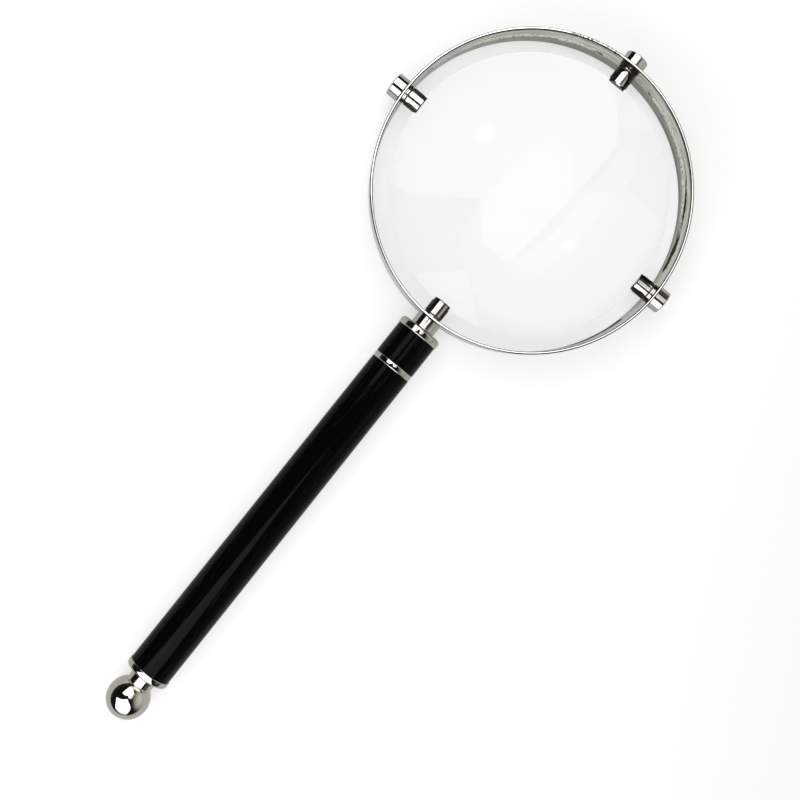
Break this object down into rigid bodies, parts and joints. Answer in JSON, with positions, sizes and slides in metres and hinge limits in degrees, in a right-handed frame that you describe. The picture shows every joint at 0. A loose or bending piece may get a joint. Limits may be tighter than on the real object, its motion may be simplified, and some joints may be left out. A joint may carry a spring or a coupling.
{
  "type": "hand magnifier",
  "caption": "Hand magnifier: a biconvex glass lens gripped by slotted clips in a wide bright band, on a straight black lacquered handle with a ball finial.",
  "frame": {"origin": "on the lens axis, in the plane of the lower rim of the band, which is the surface the magnifier lies on", "axes": "+Z along the lens axis, up from that surface; the handle runs along -Y; +X to the right with the handle towards the viewer"},
  "size_m": [0.1108, 0.2676, 0.016],
  "materials": {
    "band_plating": "mirror polished nickel plate on a brass band",
    "bright_plating": "mirror polished nickel plate on turned brass",
    "lens_glass": "clear polished crown glass with a ground edge",
    "black_lacquer": "deep black gloss lacquer on a brass tube",
    "fibre": "dark pressed fibre",
    "washer_nylon": "dark nylon",
    "plain_brass": "as turned",
    "rod_steel": "zinc plated"
  },
  "bodies": {
    "magnifier": {"band_ring": "band_plating", "lens": "lens_glass", "clip_post_tip": "bright_plating", "clip_post_left": "bright_plating", "clip_post_right": "bright_plating", "clip_post_handle": "bright_plating", "slot_liner_tip": "fibre", "slot_liner_left": "fibre", "slot_liner_right": "fibre", "slot_liner_handle": "fibre", "saddle_tip": "bright_plating", "saddle_left": "bright_plating", "saddle_right": "bright_plating", "saddle_handle": "bright_plating", "neck_ferrule": "bright_plating", "front_sleeve": "black_lacquer", "trim_ring": "bright_plating", "joiner_plug": "plain_brass", "grip_tube": "black_lacquer", "end_cap": "bright_plating", "ball_finial": "bright_plating", "tie_rod": "rod_steel"},
    "washer_tip": {"head_washer_tip": "washer_nylon"},
    "screw_tip": {"clip_screw_tip": "bright_plating"},
    "washer_left": {"head_washer_left": "washer_nylon"},
    "screw_left": {"clip_screw_left": "bright_plating"},
    "washer_right": {"head_washer_right": "washer_nylon"},
    "screw_right": {"clip_screw_right": "bright_plating"}
  },
  "joints": [
    {"name": "lift_tip", "type": "slide", "parent": "magnifier", "child": "washer_tip", "axis": [0, 1, 0], "range_m": [0, 0.002]},
    {"name": "turn_tip", "type": "hinge", "parent": "washer_tip", "child": "screw_tip", "pos_m": [0, 0.05145, 0.008], "axis": [0, 1, 0], "range_deg": [0, 1440]},
    {"name": "lift_left", "type": "slide", "parent": "magnifier", "child": "washer_left", "axis": [-1, 0, 0], "range_m": [0, 0.002]},
    {"name": "turn_left", "type": "hinge", "parent": "washer_left", "child": "screw_left", "pos_m": [-0.05145, 0, 0.008], "axis": [-1, 0, 0], "range_deg": [0, 1440]},
    {"name": "lift_right", "type": "slide", "parent": "magnifier", "child": "washer_right", "axis": [1, 0, 0], "range_m": [0, 0.002]},
    {"name": "turn_right", "type": "hinge", "parent": "washer_right", "child": "screw_right", "pos_m": [0.05145, 0, 0.008], "axis": [1, 0, 0], "range_deg": [0, 1440]}
  ],
  "couplings": [
    {"joint": "turn_tip", "follows": "lift_tip", "rad_per_m": 12566},
    {"joint": "turn_left", "follows": "lift_left", "rad_per_m": 12566},
    {"joint": "turn_right", "follows": "lift_right", "rad_per_m": 12566}
  ]
}
